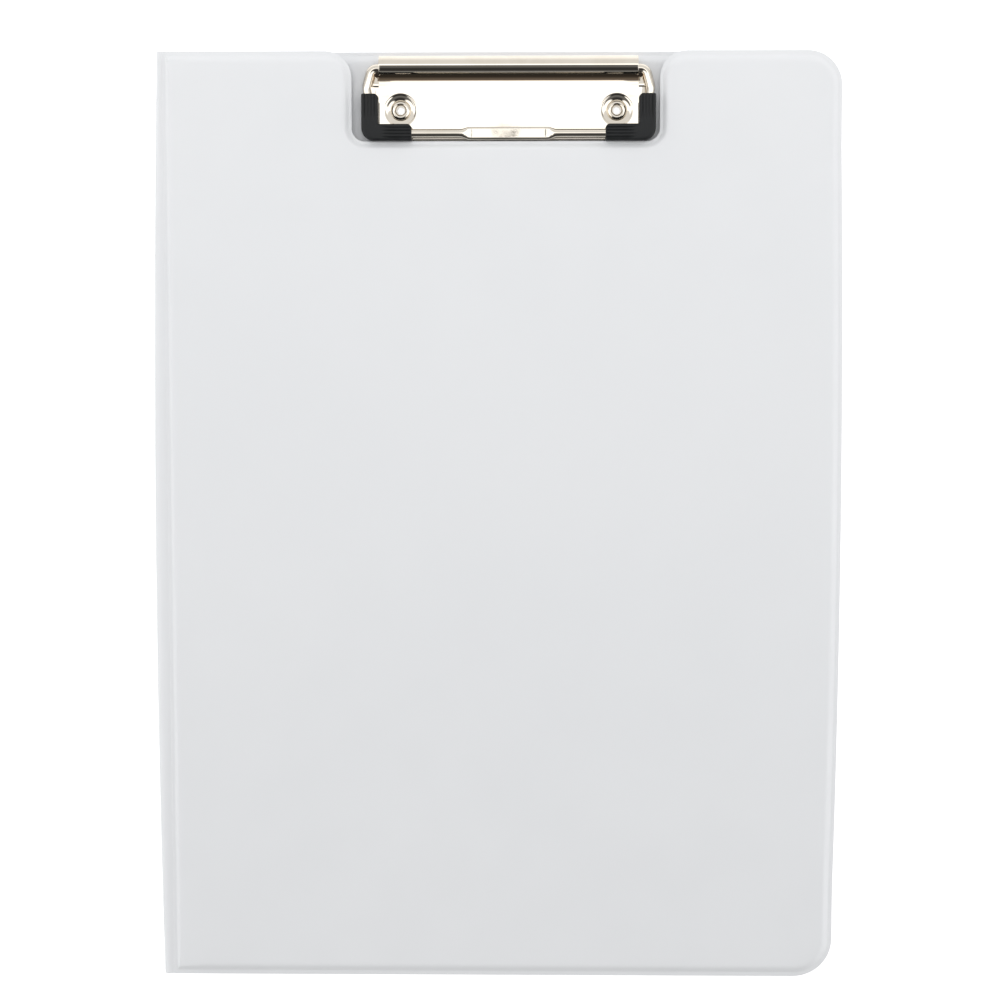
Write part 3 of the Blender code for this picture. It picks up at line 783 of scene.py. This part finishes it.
def build_ears():
    """A louvre pressed up beside each end of the barrel, open towards the wire's bar."""
    top = [(HINGE.y + y * MM, PLATE_TOP_Z + z * MM) for y, z in EAR_TOP]
    section = curve_through(top, 4)
    section += [(top[-1][0], PLATE_MID_Z), (HINGE.y + EAR_FRONT, PLATE_MID_Z)]
    for name, sign in (("clip_ear_left", -1), ("clip_ear_right", 1)):
        ends = sorted((HINGE.x + sign * EAR_INNER, HINGE.x + sign * EAR_OUTER))
        bm = bmesh.new()
        rows = [[bm.verts.new((x, y, z)) for y, z in section] for x in ends]
        loft(bm, rows, closed=True)
        bm.faces.new(rows[0])
        bm.faces.new(rows[1][::-1])
        ear = bevel(object_from(name, bm), 0.12 * MM, 2, 50)
        dress(smooth(ear, 35), NICKEL)
        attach(ear, "back")


# ---------------------------------------------------------------- rivets

# the bore and the rolled ring, from inside the bore outwards: radius, and height over the seat
RIVET_ROLL = [
    (1.08, -3.00), (1.12, -2.20), (1.24, -1.40), (1.40, -0.70), (1.52, -0.20), (1.66, 0.20),
    (1.90, 0.56), (2.20, 0.76), (2.46, 0.80), (2.74, 0.72), (3.00, 0.56), (3.20, 0.38),
    (3.30, 0.20), (3.24, 0.06), (3.00, 0.00),
]
RIVET_SHANK = 2.20 * MM
FLANGE_TOP = -0.08 * MM


def build_rivets():
    """Hollow rivets, rolled over in the dish and flanged behind the board."""
    seat = PLATE_TOP_Z - DISH_DEPTH + 0.03 * MM
    for name, (low, high) in RIVETS.items():
        bottom = low.z
        flange = (high.x - low.x) / 2
        profile = [(r * MM, seat + h * MM) for r, h in curve_through(RIVET_ROLL, 4)]
        profile += [
            (RIVET_SHANK, seat), (RIVET_SHANK, FLANGE_TOP), (flange - 0.15 * MM, FLANGE_TOP),
            (flange, FLANGE_TOP - 0.14 * MM), (flange - 0.05 * MM, FLANGE_TOP - 0.28 * MM),
            (flange - 0.4 * MM, bottom + 0.08 * MM), (2.6 * MM, bottom), (2.1 * MM, bottom),
            (1.50 * MM, bottom + 0.12 * MM), (1.20 * MM, bottom + 0.5 * MM),
        ]
        rivet = turned(f"{name}_tubular", profile, RIVET_SPOTS[name])
        finish_piece(smooth(rivet, 40), "back", NICKEL, "nickel_plate", name)


# ---------------------------------------------------------------- wire bail

WIRE_SIDES = 40
FLAT_HALF = 15.0 * MM
FLAT_RAMP = 2.6 * MM
FLAT_WIDE = 1.44
FLAT_THIN = 0.62
FLAT_SQUARENESS = 0.44
FLAT_PLANED = 0.12

# the left half of the wire, from its foot to the bar: X and Y from the hinge, and the bend's
# radius, in mm
WIRE_CORNERS = [
    (-24.7, 1.0, 0), (-29.2, 1.0, 1.5), (-31.7, -1.0, 1.5), (-47.1, -1.0, 2.5),
    (-48.8, -7.2, 6.0), (-48.1, -11.0, 6.0), (-48.1, -23.0, 2.8), (0.0, -23.0, 0),
]
BAR_Y = HINGE.y + WIRE_CORNERS[-1][1] * MM


def rounded_path(spots):
    """A line through spots, each an (x, y, radius) in mm, with fine arcs at the bends."""
    made = [Vector(spots[0][:2])]
    for before, corner, after in zip(spots, spots[1:], spots[2:]):
        here = Vector(corner[:2])
        back = (Vector(before[:2]) - here).normalized()
        onward = (Vector(after[:2]) - here).normalized()
        half = back.angle(onward) / 2
        centre = here + (back + onward).normalized() * corner[2] / math.sin(half)
        start = here + back * corner[2] / math.tan(half) - centre
        finish = here + onward * corner[2] / math.tan(half) - centre
        turn = -start.angle_signed(finish)
        steps = max(4, round(abs(math.degrees(turn)) / 5))
        first = math.atan2(start.y, start.x)
        for i in range(steps + 1):
            t = first + turn * i / steps
            made.append(centre + Vector((math.cos(t), math.sin(t))) * corner[2])
    return made + [Vector(spots[-1][:2])]


def wire_path():
    """The whole wire's middle line, with a point every mm along the middle of the bar."""
    left = rounded_path(WIRE_CORNERS)[:-1]
    bar = WIRE_CORNERS[-1][1]
    middle = [Vector((x, bar)) for x in range(-20, 21)]
    right = [Vector((-p.x, p.y)) for p in reversed(left)]
    return [Vector((HINGE.x + p.x * MM, HINGE.y + p.y * MM)) for p in left + middle + right]


def wire_section(flat):
    """The wire's section as (across, up) points: round where flat is 0, pressed flat at 1."""
    wide = WIRE_RADIUS * (1 + (FLAT_WIDE - 1) * flat)
    thin = WIRE_RADIUS * (1 + (FLAT_THIN - 1) * flat)
    power = 1 - FLAT_SQUARENESS * flat
    points = []
    for k in range(WIRE_SIDES):
        t = 2 * math.pi * k / WIRE_SIDES
        c, s = math.cos(t), math.sin(t)
        up = min(abs(s) ** power, 1 - FLAT_PLANED * flat)
        points.append((math.copysign(abs(c) ** power, c) * wide, math.copysign(up, s) * thin))
    return points


def build_wire():
    """One bent wire: a foot in each end of the barrel, two arms and the bar."""
    path = wire_path()
    bm = bmesh.new()
    rows = []
    for i, p in enumerate(path):
        before, after = path[max(i - 1, 0)], path[min(i + 1, len(path) - 1)]
        along = (after - before).normalized()
        across = Vector((-along.y, along.x))
        flat = 0.0
        if abs(p.y - BAR_Y) < 0.01 * MM:
            reach = abs(p.x - HINGE.x) - FLAT_HALF
            flat = 1 - smoothstep(-FLAT_RAMP / 2, FLAT_RAMP / 2, reach)
        rows.append([
            bm.verts.new((p.x + across.x * u, p.y + across.y * u, WIRE_Z + w))
            for u, w in wire_section(flat)
        ])
    loft(bm, rows, closed=True)
    bm.faces.new(rows[0])
    bm.faces.new(rows[-1][::-1])
    wire = bevel(object_from("wire_bail_bent", bm), 0.2 * MM, 2, 60)
    finish_piece(smooth(wire, 50), "bail", NICKEL, "nickel_plate", "wire_bail")


# ---------------------------------------------------------------- sleeves

SLEEVE_WIDTH = 5.8 * MM
SLEEVE_HALF_HEIGHT = (SLEEVE_HIGH.z - SLEEVE_LOW.z) / 2
SLEEVE_MID_Z = (SLEEVE_HIGH.z + SLEEVE_LOW.z) / 2
SLEEVE_CORNER = 4.4 * MM
SLEEVE_INNER = 0.5 * MM
SLEEVE_EDGE = 0.95 * MM
SLEEVE_CROWN = 0.05 * MM
LEG_STEPS = 16
TURN_STEPS = 18
TOP_STEPS = 44

# the grooves between the ribs, as shares of the sleeve's width
GROOVES = (0.22, 0.41, 0.60, 0.79)
GROOVE_HALF = 0.34 * MM
GROOVE_DEPTH = 0.26 * MM
GROOVES_START = 0.9 * MM
GROOVES_FULL = 3.2 * MM

END_ROUND = 0.42 * MM
END_CHAMFER = 0.9 * MM
END_CHAMFER_WIDTH = 0.22


def sleeve_section(ribbed):
    """A loop of (across from the inner side, height) points, up the outer side and over."""
    half, edge = SLEEVE_HALF_HEIGHT, SLEEVE_EDGE
    outer, low, high = SLEEVE_WIDTH - edge, edge - half, half - edge
    points = arc((outer, low), edge, -90, 90, 6) + arc((outer, high), edge, 0, 90, 6)
    for i in range(1, TOP_STEPS):
        u = outer - (outer - edge) * i / TOP_STEPS
        crown = SLEEVE_CROWN * math.sin(math.pi * i / TOP_STEPS)
        away = min(abs(u - groove * SLEEVE_WIDTH) for groove in GROOVES) / GROOVE_HALF
        points.append((u, half + crown - ribbed * GROOVE_DEPTH * math.exp(-2.2 * away ** 2)))
    return points + arc((edge, high), edge, 90, 90, 6) + arc((edge, low), edge, 180, 90, 6)


def ribbing(beyond):
    """How deep the grooves are at a distance past the sleeve's inner corner."""
    return smoothstep(GROOVES_START, GROOVES_FULL, beyond)


def sleeve_stations():
    """(inner point, outer point, ribbing) down the side leg, round and along the bar leg."""
    inner = Vector((SLEEVE_HIGH.x - SLEEVE_WIDTH, SLEEVE_LOW.y + SLEEVE_WIDTH))
    turn = inner + Vector((-SLEEVE_INNER, SLEEVE_INNER))
    made = []
    for i in range(LEG_STEPS + 1):
        y = SLEEVE_HIGH.y + (turn.y - SLEEVE_HIGH.y) * i / LEG_STEPS
        made.append((Vector((inner.x, y)), Vector((SLEEVE_HIGH.x, y)), ribbing(y - inner.y)))
    for i in range(1, TURN_STEPS):
        t = -math.pi / 2 * i / TURN_STEPS
        spoke = Vector((math.cos(t), math.sin(t)))
        made.append((turn + spoke * SLEEVE_INNER, outline_along(turn, spoke), 0.0))
    for i in range(LEG_STEPS + 1):
        x = turn.x + (SLEEVE_LOW.x - turn.x) * i / LEG_STEPS
        made.append((Vector((x, inner.y)), Vector((x, SLEEVE_LOW.y)), ribbing(inner.x - x)))
    return made


def outline_along(origin, spoke):
    """Where a spoke from the inner corner meets the sleeve's outer outline."""
    reach_x = (SLEEVE_HIGH.x - origin.x) / max(spoke.x, 1e-9)
    reach_y = (SLEEVE_LOW.y - origin.y) / min(spoke.y, -1e-9)
    point = origin + spoke * min(reach_x, reach_y)
    centre = Vector((SLEEVE_HIGH.x - SLEEVE_CORNER, SLEEVE_LOW.y + SLEEVE_CORNER))
    if point.x > centre.x and point.y < centre.y:
        to = origin - centre
        b = to.dot(spoke)
        c = to.dot(to) - SLEEVE_CORNER ** 2
        point = origin + spoke * (-b + math.sqrt(b * b - c))
    return point


def build_sleeve(name, sign, node):
    """A ribbed sleeve over the wire's corner. The left one (sign -1) mirrors the right one."""
    stations = sleeve_stations()
    ways = [Vector((0, 0)) for _ in stations]
    ways[0] = ways[1] = Vector((0, 1))
    ways[-1] = ways[-2] = Vector((-1, 0))
    bm = bmesh.new()
    rows = [sleeve_row(bm, sign, *station, way) for station, way in zip(stations, ways)]
    for share in (0.30, 0.60, 0.85, 1.0):
        out = END_ROUND * share
        shrink = END_ROUND * (1 - math.sqrt(1 - share ** 2))
        rows.insert(0, sleeve_row(bm, sign, *stations[0], ways[0], out, shrink))
        rows.append(sleeve_row(bm, sign, *stations[-1], ways[-1], out, shrink))
    loft(bm, rows, closed=True)
    bm.faces.new(rows[0])
    bm.faces.new(rows[-1])
    sleeve = object_from(name, bm)
    finish_piece(smooth(sleeve, 40), "bail", RUBBER, "black_rubber", node)


def sleeve_row(bm, sign, inner, outer, ribbed, way, out=0.0, shrink=0.0):
    """One loop of a sleeve. At an end, way points out of it and the inner edge is chamfered."""
    row = []
    for u, z in sleeve_section(ribbed):
        share = 0.5 + (u / SLEEVE_WIDTH - 0.5) * (1 - 2 * shrink / SLEEVE_WIDTH)
        chamfer = END_CHAMFER * max(0.0, 1 - share / END_CHAMFER_WIDTH) ** 1.5
        at = inner + (outer - inner) * share + way * (out - chamfer)
        x = at.x if sign > 0 else 2 * HINGE.x - at.x
        row.append(bm.verts.new((x, at.y, SLEEVE_MID_Z + z * (1 - shrink / SLEEVE_HALF_HEIGHT))))
    return row


# ---------------------------------------------------------------- stage, light and camera

# the floor lies just under the cover where it has folded right round below the back, two
# degrees short of a full turn
FOLD_LEFT = math.radians(2.0)
FLOOR_Z = 2 * BACK_MID_Z - COVER_TOP_Z - 2 * PANEL_RIGHT * math.sin(FOLD_LEFT) - 0.4 * MM
FLOOR_RADIUS = 14.0
FLOOR_GLOW = 0.72

# the direction of the camera's reflection in a level mirror, as X and Y over Z
CAMERA_SEEN = Vector((-0.0140, 0.0732))


def build_floor():
    """A wide pale floor. It glows for the camera and for the metal, so that it reads as white."""
    bm = bmesh.new()
    bmesh.ops.create_circle(bm, cap_ends=True, segments=96, radius=FLOOR_RADIUS)
    floor = object_from("floor", bm)
    floor.location.z = FLOOR_Z
    made, nodes, shader, _ = new_material("pale_floor")
    nodes.set(shader, "Base Color", (0.86, 0.86, 0.86, 1))
    nodes.set(shader, "Roughness", 0.7)
    nodes.set(shader, "Specular IOR Level", 0.0)
    path = nodes.add("ShaderNodeLightPath")
    seen = nodes.math("MAXIMUM", path.outputs["Is Camera Ray"], path.outputs["Is Glossy Ray"])
    nodes.set(shader, "Emission Color", (1, 1, 1, 1))
    nodes.set(shader, "Emission Strength", nodes.math("MULTIPLY", seen, FLOOR_GLOW))
    floor.data.materials.append(made)


def studio_in_metal(nodes, x, y, z):
    """What metal reflects: a bright lamp overhead and behind, and a dark side towards -Y."""
    # how far a direction leans towards -Y, as an angle from overhead
    lean = nodes.math("ARCTAN2", nodes.math("MULTIPLY", y, -1.0), z)
    lean = nodes.math("MULTIPLY", lean, 180 / math.pi)
    lamp = nodes.ramp(lean, -15.0, -9.0, 1.05, 2.1)
    lamp = nodes.math("ADD", lamp, nodes.ramp(lean, -100.0, -50.0, 0.45, 0.0))
    low = nodes.ramp(z, 0.06, 0.48, 0.30, 1.0)
    low = nodes.math("MAXIMUM", low, nodes.ramp(y, 0.35, 0.75))
    lamp = nodes.math("MULTIPLY", lamp, low)
    front = nodes.ramp(lean, 18.0, 42.0, 0.19, 0.045)
    front = nodes.math("ADD", front, nodes.ramp(lean, 62.0, 96.0, 0.0, 0.36))
    side = nodes.ramp(nodes.math("ABSOLUTE", x), 0.34, 0.55, 1.0, 0.0)
    dark = nodes.math("MULTIPLY", nodes.ramp(lean, -1.0, 5.0), side)
    light = nodes.mix(dark, lamp, front)

    # the camera itself, a small dark shape in the flat of the wire
    across = nodes.math("SUBTRACT", nodes.math("DIVIDE", x, z), CAMERA_SEEN.x)
    along = nodes.math("SUBTRACT", nodes.math("DIVIDE", y, z), CAMERA_SEEN.y)
    across = nodes.ramp(nodes.math("ABSOLUTE", across), 0.0048, 0.0066, 1.0, 0.0)
    along = nodes.ramp(nodes.math("ABSOLUTE", along), 0.0014, 0.0026, 1.0, 0.0)
    return nodes.mix(nodes.math("MULTIPLY", across, along), light, (0.03, 0.03, 0.03, 1))


def build_world():
    """A white studio: soft light for everything matt, and its own picture for the metal."""
    world = bpy.data.worlds.new("studio")
    bpy.context.scene.world = world
    world.use_nodes = True
    nodes = Nodes(world.node_tree)
    background = world.node_tree.nodes["Background"]
    way = nodes.add("ShaderNodeTexCoord").outputs["Generated"]
    x, y, z = nodes.add("ShaderNodeSeparateXYZ", Vector=way).outputs
    path = nodes.add("ShaderNodeLightPath")
    even = nodes.ramp(z, 0.0, 1.0, 1.28, 0.33)
    facing = nodes.ramp(y, -0.9, 0.2, 0.72, 1.0)
    soft = nodes.math("MULTIPLY", even, facing)
    mirrored = studio_in_metal(nodes, x, y, z)
    colour = nodes.mix(path.outputs["Is Glossy Ray"], soft, mirrored)
    colour = nodes.mix(path.outputs["Is Camera Ray"], colour, (1.1, 1.1, 1.1, 1))
    nodes.set(background, "Color", colour)
    nodes.set(background, "Strength", 1.0)


def area_light(name, at, target, size_x, size_y, power):
    """A rectangular lamp that metal doesn't show."""
    data = bpy.data.lights.new(name, "AREA")
    data.shape = "RECTANGLE"
    data.size = size_x
    data.size_y = size_y
    data.energy = power
    lamp = bpy.data.objects.new(name, data)
    bpy.context.scene.collection.objects.link(lamp)
    lamp.location = at
    lamp.rotation_euler = (Vector(target) - Vector(at)).to_track_quat("-Z", "Y").to_euler()
    lamp.visible_glossy = False
    lamp.visible_camera = False


def build_lights():
    """One wide softbox overhead and towards the clip, and a soft side light each way."""
    area_light("overhead", (0.0, 0.42, 1.00), (0.0, 0.10, 0.0), 1.2, 0.7, 4.6)
    for name, sign in (("left_side", -1), ("right_side", 1)):
        area_light(name, (sign * 1.3, 0.25, 0.45), (0, 0.05, 0), 0.9, 1.2, 4.5)


def build_camera():
    """The photo's view, from almost straight above."""
    data = bpy.data.cameras.new("camera")
    data.sensor_width = 36.0
    data.lens = 80.03
    data.clip_start = 0.01
    data.clip_end = 20.0
    camera = bpy.data.objects.new("camera", data)
    bpy.context.scene.collection.objects.link(camera)
    camera.location = (0.01282, 0.07712, 0.780)
    camera.rotation_euler = (-0.09034, 0.01689, -0.00068)
    bpy.context.scene.camera = camera


# ---------------------------------------------------------------- assembly

build_films()
build_pocket()
build_spine()
build_plate()
build_ears()
build_rivets()
build_wire()
build_sleeve("sleeve_left_ribbed", -1, "sleeve_left")
build_sleeve("sleeve_right_ribbed", 1, "sleeve_right")
for board in ("back_board", "cover_board"):
    dress(frame["nodes"][board], BOARD)

build_floor()
build_world()
build_lights()
build_camera()
bpy.context.scene.view_settings.view_transform = "Standard"
